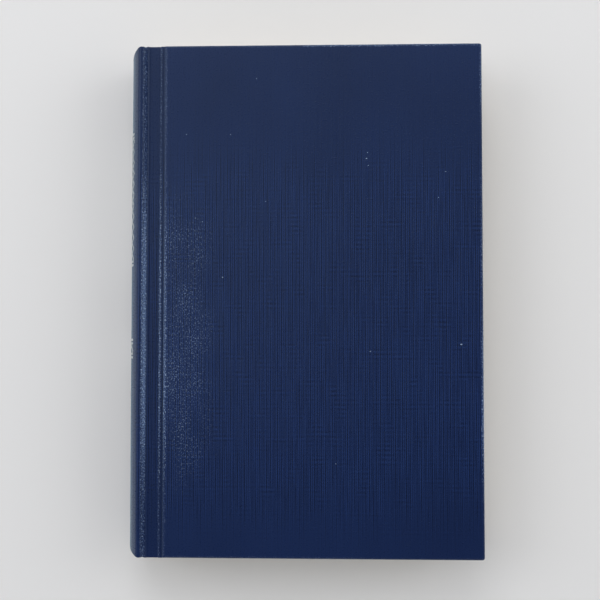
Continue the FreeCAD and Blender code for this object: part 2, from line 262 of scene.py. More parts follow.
rib_map = add(tree, "Mapping", {}, {"Vector": threads, "Scale": (1 / RIB, 1 / 14.0, 1.0)})
ribs = add(tree, "TexWave", {"bands_direction": "X"}, {
    "Vector": rib_map, "Scale": ONE_WAVE, "Distortion": 1.4, "Detail": 1.0, "Detail Scale": 0.5})
rib_pairs = add(tree, "TexWave", {"bands_direction": "X"}, {
    "Vector": rib_map, "Scale": ONE_WAVE / 2, "Distortion": 0.7, "Detail": 1.0,
    "Detail Scale": 1.0})
rib_sum = add(tree, "Math", {"operation": "MULTIPLY_ADD"}, {
    0: rib_pairs.outputs["Fac"], 1: PAIR_SHARE, 2: ribs.outputs["Fac"]})
rib_wave = add(tree, "Math", {"operation": "SUBTRACT"}, {0: rib_sum, 1: (1 + PAIR_SHARE) / 2})
rib_shown = add(tree, "MapRange", SMOOTH, {
    "Value": field["rib_runs"], "From Min": 0.36, "From Max": 0.66, "To Min": 0.15, "To Max": 1.6})
rib_height = add(tree, "Math", {"operation": "MULTIPLY"}, {0: rib_wave, 1: rib_shown})

pick_map = add(tree, "Mapping", {}, {"Vector": threads, "Scale": (1 / 4.0, 1 / PICK, 1.0)})
picks = add(tree, "TexWave", {"bands_direction": "Y"}, {
    "Vector": pick_map, "Scale": ONE_WAVE, "Distortion": 1.6, "Detail": 1.0, "Detail Scale": 0.6})
pick_wave = add(tree, "Math", {"operation": "SUBTRACT"}, {0: picks.outputs["Fac"], 1: 0.5})
pick_shown = add(tree, "MapRange", SMOOTH, {
    "Value": field["pick_runs"], "From Min": 0.5, "From Max": 0.74, "To Min": 0.04, "To Max": 0.42})
pick_height = add(tree, "Math", {"operation": "MULTIPLY"}, {0: pick_wave, 1: pick_shown})
both_threads = add(tree, "Math", {"operation": "ADD"}, {0: rib_height, 1: pick_height})
print("threads", RIB, "mm apart across and", PICK, "mm along")

# %% [markdown]
# ## Relief of the book cloth
# Grains of the coating stand up where threads cross, and the grain is pressed flatter towards head and
# tail, so the threads fade there. Single threads are far too many for the mesh, so bump gives them; only
# slow unevenness and thick threads also stand up in the mesh.

# %% Book cloth: specks, pressed ends and relief
GRAIN_MIDDLE = -14.0   # mm along the book, the middle of the stretch where the grain is deep

specks = add(tree, "MapRange", SMOOTH, {"Value": field["specks"], "From Min": 0.68, "From Max": 0.78})
way_along = add(tree, "SeparateXYZ", {}, {0: threads})
from_middle = add(tree, "Math", {"operation": "SUBTRACT"}, {0: way_along.outputs["Y"], 1: GRAIN_MIDDLE})
off_middle = add(tree, "Math", {"operation": "ABSOLUTE"}, {0: from_middle})
pressed = add(tree, "MapRange", SMOOTH, {
    "Value": off_middle, "From Min": 38.0, "From Max": 80.0, "To Min": 1.0, "To Max": 0.06})
woven = add(tree, "Math", {"operation": "MULTIPLY"}, {0: both_threads, 1: pressed})
height = add(tree, "Math", {"operation": "ADD"}, {0: woven, 1: specks})
relief = add(tree, "Bump", {}, {"Strength": 0.4, "Distance": 0.00005, "Height": height})
print("grain deepest at", GRAIN_MIDDLE, "mm along the book")

# %% [markdown]
# ## Colour, wear, painted highlights and gloss of the book cloth
# The colour of a thread's top is painted lighter and the hollow between darker, a painted sheen and shade
# of the weave, and the dye drifts slowly over the sheet. At edges and where hands rub, the coating is thin
# on the grain's tops and shows a paler blue; the same paler blue is also a painted highlight on the ridges,
# the pressed line and the edges, and specks there get painted glints. Wear could be painted as a mask;
# here each skin carries its share of wear and painted highlight in an attribute, and the grain decides
# which tops have gone.

# %% Book cloth: colour, wear, painted highlights and gloss
drifted = add(tree, "Math", {"operation": "MULTIPLY_ADD"}, {0: field["drift"], 1: 0.3, 2: 0.3})
# A thread's top is painted lighter and the hollow between darker, a painted sheen and shade of the weave; the
# drift is the dye's own.
thread_sheen_shade_and_drift = add(tree, "Math", {"operation": "MULTIPLY_ADD"}, {0: woven, 1: 1.4, 2: drifted})
dyed_with_thread_sheen = add(tree, "Mix", RGBA, {0: thread_sheen_shade_and_drift, 6: linear(CLOTH_DARK), 7: linear(CLOTH_BLUE)})
# Wear and painted highlight: where the share is high, the grain's tops turn the paler blue.
thinned_and_highlit = add(tree, "Math", {"operation": "MULTIPLY_ADD"}, {0: field["grain"], 1: 1.8, 2: rubbed})
worn_and_highlit = add(tree, "MapRange", SMOOTH, {
    "Value": thinned_and_highlit, "From Min": 1.2, "From Max": 1.9, "To Min": 0.0, "To Max": 0.85})
touched_and_highlit = add(tree, "MapRange", {}, {"Value": rubbed, "From Max": 0.12})
worn_and_highlit_there = add(tree, "Math", {"operation": "MULTIPLY"}, {0: worn_and_highlit, 1: touched_and_highlit})
blue = add(tree, "Mix", RGBA, {0: worn_and_highlit_there, 6: dyed_with_thread_sheen.outputs[2], 7: linear(CLOTH_WORN_AND_HIGHLIGHT)})
# Painted glints: specks with a share of wear and painted highlight turn pale blue-white.
glints = add(tree, "Math", {"operation": "MULTIPLY"}, {0: specks, 1: rubbed})
glint_shown = add(tree, "MapRange", {}, {
    "Value": glints, "From Min": 0.03, "From Max": 0.8, "To Min": 0.0, "To Max": 0.9})
glinting = add(tree, "Mix", RGBA, {0: glint_shown, 6: blue.outputs[2], 7: linear(CLOTH_PAINTED_GLINT)})
gloss = add(tree, "MapRange", {}, {"Value": specks, "To Min": 0.3, "To Max": 0.16})
surface = add(tree, "BsdfPrincipled", {}, {
    "Base Color": glinting.outputs[2], "Roughness": gloss, "Normal": relief,
    "IOR": 1.49, "Specular IOR Level": 0.22, "Specular Tint": (0.75, 0.91, 1.0, 1.0),
    "Sheen Weight": 0.3, "Sheen Roughness": 0.3, "Sheen Tint": (0.3, 0.75, 1.0, 1.0)})
add(tree, "OutputMaterial", {}, {"Surface": surface})
print("book cloth from", CLOTH_DARK, "to", CLOTH_BLUE)

# %% [markdown]
# ## Card, board, kraft paper and gauze
# Boards, card, gauze and linings are flat stock, seen at cut edges or through the hollow of the spine. Grey
# and brown stocks differ in colour and tooth only, so one loop makes them from a short table; gauze has an
# open square mesh.

# %% Greyboard, card, kraft paper and gauze
stock = {
    "greyboard_pressed": ("#7d766b", "#969085", 700.0, 0.9),
    "inlay_card_calendered": ("#a8906c", "#bda582", 500.0, 0.8),
    "kraft_paper_machine_made": ("#9c7a52", "#b8946a", 800.0, 0.85),
}
finishes = {}
for name, (dark, light, scale, rough) in stock.items():
    made, tree = new_material(name)
    where = add(tree, "TexCoord").outputs["Object"]
    fibres = add(tree, "TexNoise", {}, {"Vector": where, "Scale": scale, "Detail": 5.0, "Roughness": 0.7})
    mixed = add(tree, "Mix", RGBA, {0: fibres, 6: linear(dark), 7: linear(light)})
    tooth = add(tree, "Bump", {}, {"Strength": 0.4, "Distance": 0.00005, "Height": fibres})
    surface = add(tree, "BsdfPrincipled", {}, {
        "Base Color": mixed.outputs[2], "Roughness": rough, "Normal": tooth})
    add(tree, "OutputMaterial", {}, {"Surface": surface})
    finishes[name.split("_")[0]] = made

gauze, tree = new_material("mull_sized_cotton_gauze")
where = add(tree, "TexCoord").outputs["Object"]
gauze_map = add(tree, "Mapping", {}, {"Vector": where, "Scale": (1000.0, 1000.0, 1000.0)})
yarns = [add(tree, "TexWave", {"bands_direction": way}, {
    "Vector": gauze_map, "Scale": 0.35, "Distortion": 0.6}).outputs[1] for way in "XY"]
open_mesh = add(tree, "Math", {"operation": "MAXIMUM"}, {0: yarns[0], 1: yarns[1]})
gauze_tone = add(tree, "Mix", RGBA, {0: open_mesh, 6: linear("#b9b09a"), 7: linear("#e2ddcc")})
net = add(tree, "Bump", {}, {"Strength": 0.5, "Distance": 0.0001, "Height": open_mesh})
surface = add(tree, "BsdfPrincipled", {}, {
    "Base Color": gauze_tone.outputs[2], "Roughness": 0.9, "Normal": net})
add(tree, "OutputMaterial", {}, {"Surface": surface})
finishes["mull"] = gauze

inlay_card = finishes["inlay"]
print("stocks", sorted(finishes))

# %% [markdown]
# ## Cloth over a board
# Each cover is a greyboard with cloth glued over it and turned in by 15 mm round three of its edges. It
# could be the CAD plate with a bevel, but the eye looks for the soft radius of the cloth over the board's
# edge, the rounded corners and the standing threads. So the face is a fine grid, and rings of points carry
# its border round the edge, under the board and back inside, which also makes the turn-ins and their mitred
# corners.

# %% Sizes and surfaces that the skins share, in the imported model's frame
EDGE_X, FORE_X = -52.5128, 66.7128
CASE_HALF = 96.0
CLOTH = 0.4
FACE_UP, BOARD_UP, BOARD_LOW, TURNED_UP = 12.7, 12.3, 9.9, 9.5
ROW_STEP = 1.9         # mm along the book between two rows of points
THREAD_FADE = 1.5      # mm from an edge within which the standing threads fade out
EDGE_WEAR_AND_LIGHT, THUMB_WEAR_AND_GLINTS, SPINE_WEAR_AND_LIGHT = (-18.0, 46.0), (-14.0, 50.0), (-12.0, 50.0)   # middle and reach of wear and painted highlight


def standing_threads(across, along, seed):
    """Height of the cloth's surface in mm: slow unevenness of the glued cloth, plus thick upright threads
    and weaker cross threads, each a smooth random table stretched along its thread."""
    uneven = 0.035 * hills(across, along, 34.0, 47.0, seed)
    upright_threads = 0.016 * hills(across, along, 0.62, 22.0, seed + 1)
    cross_threads = 0.006 * hills(across, along, 9.0, 2.4, seed + 2)
    return uneven + upright_threads + cross_threads


def wear_and_light_share(along, middle, reach):
    """Share of the wear and painted highlight that a place along the book gets: exp(-((along - middle) /
    reach)^4).
    """
    return np.exp(-((along - middle) / reach) ** 4)


def soften_corner(x, y, left, right, half, fore_round, joint_round):
    """Rounds a rectangle's corners seen from above: within a corner's square of side r, a point's offset q
    from the square's inner corner is scaled by max(qx, qy) / |q|, which turns the square into a quarter
    disc."""
    for end, side, r in ((right, 1, fore_round), (left, -1, joint_round)):
        qx = np.clip((x - end) * side + r, 0, None)
        qy = np.clip(np.abs(y) - half + r, 0, None)
        length = np.sqrt(qx ** 2 + qy ** 2)
        scale = np.where((qx > 0) & (qy > 0), np.maximum(qx, qy) / np.maximum(length, 1e-9), 1.0)
        x = np.where((qx > 0) & (qy > 0), end - side * r + side * qx * scale, x)
        y = np.where((qx > 0) & (qy > 0), np.sign(y) * (half - r + qy * scale), y)
    return x, y


# %% Cloth of the two covers
EDGE_ROUND = 0.65      # outer radius of the cloth over the board's edge
JOINT_ROUND = 1.0      # the same at the groove, where the board's edge is pressed softer
LOW_ROUND = 0.45       # the same round the board's lower edge
FORE_CORNER, JOINT_CORNER = 0.9, 0.1    # radii of the corners seen from above
TURN_IN = 15.0
FACE_STEP = 0.42       # mm between points across the face
RIM_STEP, RIM_ZONE = 0.3, 1.2           # finer rows near head and tail
RIM_WEAR_AND_HIGHLIGHT = 0.5         # mm from the edge over which its wear and painted highlight fade out
RING_RUN = 0.35        # mm of cloth counted from ring to ring
WORN_AND_LIT_TO = 11.8         # height down to which the edges get wear and painted highlight
THUMB_GLINTS_X, THUMB_GLINTS_WIDE = -46.0, 11.0   # where a thumb opens the book and rubs the thread tops, and glints are painted

bend, low_bend = np.radians(np.linspace(15, 90, 6)), np.radians([20, 45, 70, 90])
over = [EDGE_ROUND * (1 - np.sin(bend)), JOINT_ROUND * (1 - np.sin(bend)),
        FACE_UP - EDGE_ROUND * (1 - np.cos(bend))]
under = [LOW_ROUND * (1 - np.cos(low_bend)), LOW_ROUND * (1 - np.cos(low_bend)),
         TURNED_UP + LOW_ROUND * (1 - np.sin(low_bend))]
wall = [(0.0, 0.0, 11.2), (0.0, 0.0, 10.2)]
turned_in = [(3.6, 0.6, TURNED_UP), (TURN_IN, 0.8, TURNED_UP), (TURN_IN + 0.15, 0.9, BOARD_LOW),
             (CLOTH, CLOTH, BOARD_LOW), (CLOTH, CLOTH, BOARD_UP)]
rings = np.concatenate([np.stack(over, axis=1), wall, np.stack(under, axis=1), turned_in])


def cover_cloth(place, side, seed):
    """Skin over one board. The face is a grid; ring k is the face's border stretched to the rectangle that
    is inset by a(k) at three edges and by b(k) at the joint, at height z(k), the three columns of rings; a
    flat face closes it against the board. The edges get wear and a painted highlight, the edge beside the
    joint most where hands hold the book, and a band near the joint gets wear with painted glints."""
    across = spaced(EDGE_X + JOINT_ROUND, FORE_X - EDGE_ROUND, FACE_STEP)
    along = spaced(-CASE_HALF + EDGE_ROUND, CASE_HALF - EDGE_ROUND, ROW_STEP, RIM_STEP, RIM_ZONE)
    x, y = np.meshgrid(across, along)
    near = np.minimum(np.minimum(x - x.min(), x.max() - x), np.minimum(y - y.min(), y.max() - y))
    up = FACE_UP + standing_threads(x, y, seed) * np.clip(near / THREAD_FADE, 0, 1)
    flat_x, flat_y = soften_corner(x, y, x.min(), x.max(), y.max(), FORE_CORNER - EDGE_ROUND, JOINT_CORNER)
    index = np.arange(x.size).reshape(x.shape)
    border = np.concatenate([index[0, :], index[1:, -1], index[-1, -2::-1], index[-2:0:-1, 0]])
    bx, by = x.ravel()[border], y.ravel()[border]
    share_x, share_y = (bx - x.min()) / (x.max() - x.min()), by / y.max()
    points = [np.stack([flat_x, flat_y, up], axis=-1).reshape(-1, 3)]
    threads = [np.stack([x, y, 0 * x], axis=-1).reshape(-1, 3)]
    # Edges: wear and a painted highlight; near the joint, a band of wear with painted glints.
    edge_wear_and_highlight = 0.3 + 0.3 * hills(x + 3 * y, y, 60.0, 45.0, seed + 3)
    edge_wear_and_highlight = np.where(x < 0, 0.12 + 0.15 * edge_wear_and_highlight + 0.32 * wear_and_light_share(y, *EDGE_WEAR_AND_LIGHT), edge_wear_and_highlight)
    handled_wear_and_glints = 0.24 * np.exp(-((x - THUMB_GLINTS_X) / THUMB_GLINTS_WIDE) ** 2) * wear_and_light_share(y, *THUMB_WEAR_AND_GLINTS)
    handled_wear_and_glints = handled_wear_and_glints * (0.8 + 0.5 * hills(x, y, 5.0, 8.0, seed + 4))
    rubbed = [np.maximum(np.clip(1 - near / RIM_WEAR_AND_HIGHLIGHT, 0, 1) * edge_wear_and_highlight, handled_wear_and_glints).ravel()]
    border_wear_and_highlight = edge_wear_and_highlight.ravel()[border]
    for number, (inset, joint_inset, level) in enumerate(rings, 1):
        left, right, half = EDGE_X + joint_inset, FORE_X - inset, CASE_HALF - inset
        rx, ry = soften_corner(left + share_x * (right - left), share_y * half, left, right, half,
                               max(FORE_CORNER - inset, 0.02), JOINT_CORNER)
        points.append(np.stack([rx, ry, np.full(len(rx), level)], axis=1))
        rubbed.append(border_wear_and_highlight * (1.1 if level > WORN_AND_LIT_TO else 0.0))
        gone = number * RING_RUN
        outward_x = np.where(share_x >= 1, gone, np.where(share_x <= 0, -gone, 0))
        outward_y = np.where(np.abs(share_y) >= 1, np.sign(share_y) * gone, 0)
        threads.append(np.stack([bx + outward_x, by + outward_y, 0 * bx], axis=1))
    loops = x.size + np.arange(len(rings) * len(border)).reshape(len(rings), -1)
    ladder = np.concatenate([border[None, :], loops]).T
    faces = grid_faces(*x.shape) + quads(np.concatenate([ladder, ladder[:1]])) + [loops[-1, ::-1].tolist()]
    points = np.concatenate(points)
    points[:, 2] = MIDDLE + side * points[:, 2]
    piece = closed_piece(place + "_cloth_over_board", points, faces, book_cloth,
                         np.concatenate(threads), np.concatenate(rubbed))
    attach(piece, place + "_cover")
    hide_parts(place + "_cover_cloth")


cover_cloth("front", 1, 11)
cover_cloth("rear", -1, 23)

# %% [markdown]
# ## Cloth round the spine and through the grooves
# The same sheet runs over the rounded spine and its two ridges, down into each groove and up the edge of
# the board. On the real book it bends with its cover in a groove, so it is divided there. It could be one
# bevelled plate for each stretch, but all of them are one kind of shape, a line seen from the head that is
# carried along the book and folded back inside at both ends, so one function makes them.


# %% A sheet carried along the book
NOMINAL_HALF = 95.0    # mm, half of the length that a sheet's steps are reckoned for
END_STEP, END_ZONE = 0.4, 2.0    # finer rows near both ends
SIDE_FADE = 0.8        # mm from a sheet's first and last row within which the standing threads fade out
OUTER_DEEP = 0.3       # wear and painted highlight reach this far round the fold


def rounded_line(corners, step):
    """Points of a line whose corners (x, up, radius) are rounded. At a corner where the line turns by angle
    g, the arc starts and ends r tan(g/2) from the corner, and its points turn evenly about the arc's
    centre."""
    corners = np.asarray(corners, dtype=float)
    places, radii = corners[:, :2], corners[:, 2]
    line = [places[:1]]
    for i in range(1, len(places) - 1):
        before, after = places[i] - places[i - 1], places[i + 1] - places[i]
        before, after = before / np.linalg.norm(before), after / np.linalg.norm(after)
        turn = math.atan2(before[0] * after[1] - before[1] * after[0], float(before @ after))
        reach = radii[i] * math.tan(abs(turn) / 2)
        start = places[i] - before * reach
        normal = np.array([-before[1], before[0]]) * math.copysign(1, turn)
        centre = start + normal * radii[i]
        angles = np.linspace(0, turn, max(3, round(radii[i] * abs(turn) / (0.6 * step)) + 1))
        spoke = start - centre
        line.append(centre + np.stack([spoke[0] * np.cos(angles) - spoke[1] * np.sin(angles),
                                       spoke[0] * np.sin(angles) + spoke[1] * np.cos(angles)], axis=1))
    line.append(places[-1:])
    return even(np.concatenate(line), step)


def even(line, step):
    """The same line with more points where two neighbours are more than a step apart."""
    gaps = np.linalg.norm(np.diff(line, axis=0), axis=1)
    line = line[np.concatenate([[True], gaps > 1e-6])]
    run = run_along(line)
    more = [np.linspace(a, b, max(1, math.ceil((b - a) / step)), endpoint=False)
            for a, b in zip(run[:-1], run[1:])]
    wanted = np.concatenate(more + [run[-1:]])
    return np.stack([np.interp(wanted, run, line[:, 0]), np.interp(wanted, run, line[:, 1])], axis=1)


def run_along(line):
    """Way along a line from its start to each of its points."""
    return np.concatenate([[0], np.cumsum(np.linalg.norm(np.diff(line, axis=0), axis=1))])


def wear_and_highlight_band(line, middle, inner, fade, most):
    """Wear and painted highlight in a band along the book: most within inner of its middle, falling to
    nothing over a further fade."""
    off = np.hypot(line[:, 0] - middle[0], np.abs(line[:, 1]) - middle[1])
    return np.clip((inner + fade - off) / fade, 0, 1) * most


def turned_sheet(name, line, side, end, depth, thick, flap, step, finish, seed=None, thread_start=0.0,
                 rubbed=0.0):
    """Sheet whose outer face follows a line (across, up) and is carried along the book. For each point of
    the line, the sheet runs out to its end, round a half circle as deep as the fold, and back inside as far
    as the flap. Wear, where hands hold the book, and painted highlight are strongest along the middle, and
    0.42 of that at the ends."""
    tangent = np.gradient(line, axis=0)
    tangent /= np.linalg.norm(tangent, axis=1)[:, None]
    inward = np.stack([-tangent[:, 1], tangent[:, 0]], axis=1)
    run = run_along(line) + thread_start
    end, depth = np.broadcast_to(end, run.shape), np.broadcast_to(depth, run.shape)
    radius = depth / 2
    rest = end - radius
    whole = np.ones_like(rest)
    outside = spaced(-1, 1, step / NOMINAL_HALF, END_STEP / NOMINAL_HALF, END_ZONE / NOMINAL_HALF)
    turned = [(rest + radius * math.sin(t), radius * (1 - math.cos(t)))
              for t in np.radians(np.linspace(0, 180, 9)[1:-1])]
    turned += [(rest, depth), (flap + (rest - flap) * 0.5, depth), (whole * flap, depth)]
    columns = [(rest * t, 0 * rest) for t in outside] + turned
    columns += [(whole * (flap - 0.3) * t, whole * thick) for t in np.linspace(1, -1, 13)]
    columns += [(-along, deep) for along, deep in turned[::-1]]
    along, deep = (np.stack(part, axis=1) for part in zip(*columns))
    run = np.broadcast_to(run[:, None], along.shape)
    raised = np.zeros_like(along)
    if seed is not None:
        ends = np.clip((rest[:, None] - np.abs(along)) / THREAD_FADE, 0, 1)
        sides = np.clip(np.minimum(run - run[0], run[-1] - run) / SIDE_FADE, 0, 1)
        raised = np.where(deep < 1e-6, standing_threads(run, along, seed), 0) * ends * sides
    place = line[:, None, :] + inward[:, None, :] * (deep - raised)[:, :, None]
    points = np.stack([place[:, :, 0], along, MIDDLE + side * place[:, :, 1]], axis=-1)
    threads = np.stack([run, along, deep], axis=-1)
    worn_and_highlit = np.broadcast_to(rubbed, rest.shape)[:, None] * (deep < OUTER_DEEP)
    worn_and_highlit = worn_and_highlit * (0.42 + 0.58 * wear_and_light_share(along, *SPINE_WEAR_AND_LIGHT))
    return closed_piece(name, points, tube_faces(*along.shape), finish, threads, worn_and_highlit)


# %% [markdown]
# ## Cloth of the spine
# Over the spine the cloth lies on a strip of card, rounds both ridges, and is turned in over the card at
# head and tail. The back's arc and the ridge's arc meet on one tangent, so the line is two small arcs and a
# large one. Its ends could be square, but on the real book they are pulled in over the headbands, so the
# sheet's end falls away towards the back, and the fold is deeper in the middle, where it holds the card.

# %% Cloth of the spine
SPINE_X, SPINE_AXIS, SPINE_R = -66.7128, -47.0127, 19.7001
RIDGE_X, RIDGE_UP, RIDGE_R = -61.5128, 11.0, 1.5
FOOT_TURN = math.radians(38)    # where on the ridge the spine's cloth hands over to the groove's cloth
CAP_WIDE, CAP_DEEP = 5.2, 2.6   # how far in the spine's ends start to fall away, and how far they fall
FLAP_HALF = 6.0        # how far the deep fold reaches up and down from the middle
FOLD_DEEP = 1.2        # cloth, card and cloth
FOLD_FADE = 0.8        # mm over which the deep fold thins out to the cloth alone
FLAP_END = 81.0        # how far along the book the turned-in cloth reaches back
SPINE_THREADS = 200.0  # thread coordinate at the front ridge; the grooves count on from it

tangent_angle = math.atan2(RIDGE_UP, RIDGE_X - SPINE_AXIS)
arcs = ((RIDGE_X, RIDGE_UP, RIDGE_R, np.linspace(FOOT_TURN, tangent_angle, 28)),
        (SPINE_AXIS, 0.0, SPINE_R, np.linspace(tangent_angle, 2 * math.pi - tangent_angle, 70)[1:-1]))
ridge_line, back_line = (np.stack([x + r * np.cos(a), up + r * np.sin(a)], axis=1) for x, up, r, a in arcs)
spine_line = np.concatenate([ridge_line, back_line, ridge_line[::-1] * np.array([1, -1])])


def cap_end(x):
    """Where the cloth ends along the book: it falls away towards the back as the power 1.5 of the way
    across."""
    return CASE_HALF - CAP_DEEP * np.clip((CAP_WIDE - (x - SPINE_X)) / CAP_WIDE, 0, 1) ** 1.5


folded = np.clip((FLAP_HALF + FOLD_FADE - np.abs(spine_line[:, 1])) / FOLD_FADE, 0, 1)
spine_deep = CLOTH + (FOLD_DEEP - CLOTH) * folded * folded * (3 - 2 * folded)
# Wear and a painted highlight along the top of each ridge.
ridge_wear_and_highlight = wear_and_highlight_band(spine_line, (RIDGE_X + 1.0, RIDGE_UP + 1.1), 0.31, 0.62, 0.58)
spine = turned_sheet("spine_cloth_over_card", spine_line, 1, cap_end(spine_line[:, 0]), spine_deep, CLOTH,
                     FLAP_END, ROW_STEP, book_cloth, 37, SPINE_THREADS, ridge_wear_and_highlight)
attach(spine, "book_block")
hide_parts("spine_cloth")

# %% [markdown]
# ## Lint
# A few crumbs of lint and dust lie on the front cover. They could be specks in the cloth's material, but a
# crumb stands up and throws a small shadow, so each is a tiny flattened ball that sits in the cloth by half
# of its height.

# %% Lint on the front cover
LINT_PLACES = np.array([
    (58.5, -16.8), (24.9, -19.4), (-17.7, 83.2), (-44.1, 62.2), (-27.5, 62.0), (24.0, 54.9), (23.6, 52.7),
    (24.3, 50.0), (53.0, 47.6), (50.3, 37.9), (-14.2, 36.7), (-30.3, 8.2), (-40.6, 30.5), (-37.9, 29.1),
    (12.0, -61.0)])
LINT_SIZES = np.array([0.3, 0.2, 0.17, 0.15, 0.15, 0.18, 0.22, 0.17, 0.17, 0.15, 0.15, 0.2, 0.15, 0.14, 0.13])

lint, tree = new_material("lint_cotton_and_dust")
where = add(tree, "TexCoord").outputs["Object"]
lint_noise = add(tree, "TexNoise", {}, {"Vector": where, "Scale": 4000.0, "Detail": 2.0})
lint_tone = add(tree, "Mix", RGBA, {0: lint_noise, 6: linear("#44587c"), 7: linear("#8a9cb2")})
surface = add(tree, "BsdfPrincipled", {}, {"Base Color": lint_tone.outputs[2], "Roughness": 0.85})
add(tree, "OutputMaterial", {}, {"Surface": surface})


def lint_crumbs():
    """Flattened balls: rings of a ball's latitude, its height a third of its width, with a seeded random
    size for each point. Each ball is closed by a point at its top and one at its foot."""
    random = np.random.default_rng(83)
    rows, cols, flat = 4, 8, 0.35
    latitude = np.radians(np.linspace(60, -60, rows))[:, None]
    longitude = np.linspace(0, 2 * math.pi, cols + 1)[:-1][None, :]
    ball = np.stack([np.cos(latitude) * np.cos(longitude), np.cos(latitude) * np.sin(longitude),
                     np.sin(latitude) * flat + 0 * longitude], axis=-1).reshape(-1, 3)
    ball = np.concatenate([ball, [(0, 0, flat), (0, 0, -flat)]])
    top, foot = rows * cols, rows * cols + 1
    one = grid_faces(rows, cols, closed=True)
    one += [[top, (k + 1) % cols, k] for k in range(cols)]
    one += [[foot, top - cols + k, top - cols + (k + 1) % cols] for k in range(cols)]
    shapes = ball[None, :, :] * random.uniform(0.75, 1.25, (len(LINT_PLACES), len(ball), 1))
    shapes = shapes * LINT_SIZES[:, None, None] * np.array([1.3, 1.0, 1.0])
    centres = np.column_stack([LINT_PLACES, np.full(len(LINT_PLACES), MIDDLE + FACE_UP + 0.03)])
    points = shapes + centres[:, None, :]
    faces = [[v + k * len(ball) for v in face] for k in range(len(LINT_PLACES)) for face in one]
    crumbs = closed_piece("front_cover_lint", points, faces, lint)
    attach(crumbs, "front_cover")


lint_crumbs()

# %% [markdown]
# ## Silver foil on the spine
# A title zone on such a spine is blocked with a hot die through silver foil, which leaves thin bright lines
# on the cloth. It could be a pattern in the cloth's material, but lines of real geometry stay sharp from
# near and carry their own metal. The ornament is a plain trellis between rules: every line is a ribbon in
# the flat, wrapped round the spine's arc.

# %% Silver foil, hot stamped
FOIL_WIDE = 0.7
FOIL_LIFT = 0.1        # the foil's face above the spine's arc, so that it clears the threads
TRELLIS_HALF = 9.2     # how far the trellis reaches to each side of the spine's middle, along its arc

foil, tree = new_material("foil_silver_hot_stamped")
where = add(tree, "TexCoord").outputs["Object"]
foil_map = add(tree, "Mapping", {}, {"Vector": where, "Scale": (1400.0, 1400.0, 1400.0)})
foil_noise = add(tree, "TexNoise", {}, {"Vector": foil_map, "Scale": 1.0, "Detail": 2.0})
foil_tone = add(tree, "Mix", RGBA, {0: foil_noise, 6: linear("#aeb6b8"), 7: linear("#e6ebeb")})
foil_rough = add(tree, "MapRange", {}, {"Value": foil_noise, "To Min": 0.25, "To Max": 0.5})
surface = add(tree, "BsdfPrincipled", {}, {
    "Base Color": foil_tone.outputs[2], "Metallic": 1.0, "Roughness": foil_rough})
add(tree, "OutputMaterial", {}, {"Surface": surface})


def foil_ribbon(around, along, width, lift):
    """One ribbon. Its path is given in the flat, mm round the arc and mm along the book; both edges are
    half a width to the side of the path, across its direction, and s mm round the arc is the angle s /
    R."""
    path = np.stack([around, along], axis=1)
    heading = np.gradient(path, axis=0)
    heading /= np.linalg.norm(heading, axis=1)[:, None]
    across = np.stack([-heading[:, 1], heading[:, 0]], axis=1) * width / 2
    sides = np.stack([path + across, path - across, path - across, path + across], axis=1)
    out = SPINE_R + np.array([lift, lift, -0.05, -0.05])[None, :]
    angle = sides[:, :, 0] / SPINE_R
    return on_arc(SPINE_AXIS, out, angle, sides[:, :, 1]).reshape(-1, 3), tube_faces(len(path), 4)


def foil_panel(name, low, high, pitch):
    """Rules and a trellis from low to high along the book. A trellis line is a zigzag of half width H, that
    is (2 / pi) H asin(sin(pi y / 2H)); lines one pitch apart cross each other at right angles."""
    ribbons = []
    wide = np.linspace(-TRELLIS_HALF, TRELLIS_HALF, 25)
    for level, width in ((low, FOIL_WIDE), (low - 1.3, 0.9), (high, FOIL_WIDE), (high + 1.3, 0.9)):
        ribbons.append(foil_ribbon(wide, np.full(len(wide), level), width, FOIL_LIFT))
    along = np.linspace(low, high, round((high - low) / 0.6) + 1)
    count = round(4 * TRELLIS_HALF / pitch)
    for k in range(count):
        phase = (along - low) / (2 * TRELLIS_HALF) + 2 * k / count
        around = TRELLIS_HALF * 2 / math.pi * np.arcsin(np.sin(math.pi * phase))
        ribbons.append(foil_ribbon(around, along, FOIL_WIDE, FOIL_LIFT - 0.004 * (k % 3)))
    starts = np.cumsum([0] + [len(points) for points, some in ribbons[:-1]]).tolist()
    faces = [[v + start for v in face] for start, (points, some) in zip(starts, ribbons) for face in some]
    panel = closed_piece(name, np.concatenate([points for points, some in ribbons]), faces, foil)
    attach(panel, "book_block")


foil_panel("spine_foil_head", 14.5, 62.0, 4.1)
foil_panel("spine_foil_tail", -20.5, -16.5, 4.1)

# %% [markdown]
# ## Card inside the spine
# A strip of thin card stiffens the spine, and its ends lie in the cloth's fold. It could keep its CAD
# shape, but the cloth's ends fall away here, so the same function carries the card along the arc under the
# cloth and ends it half a millimetre short of the fold.

# %% Card inside the spine
CARD_HALF, CARD = 7.4, 0.38    # half of its width, and its thickness
CARD_R = SPINE_R - CLOTH

card_angles = np.linspace(1, -1, 40) * math.asin(CARD_HALF / CARD_R)
card_line = np.stack([SPINE_AXIS - CARD_R * np.cos(card_angles), CARD_R * np.sin(card_angles)], axis=1)
spine_card = turned_sheet("spine_card", card_line, 1, cap_end(card_line[:, 0]) - 0.5, CARD, CARD, FLAP_END,
                          6.0, inlay_card)
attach(spine_card, "book_block")
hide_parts("spine_inlay")

# %% [markdown]
# ## Cloth of the two grooves
# A hot rod presses the cloth into the gap between ridge and board, which lets the cover swing. In the photo
# the groove has a flat floor and a bright pressed line beside the board. It could be one sheet that bends,
# but a blend joins two bodies only and the groove has two folds, so it is divided on its floor: one stretch
# goes from the spine to the joint, the next from the joint to the cover.

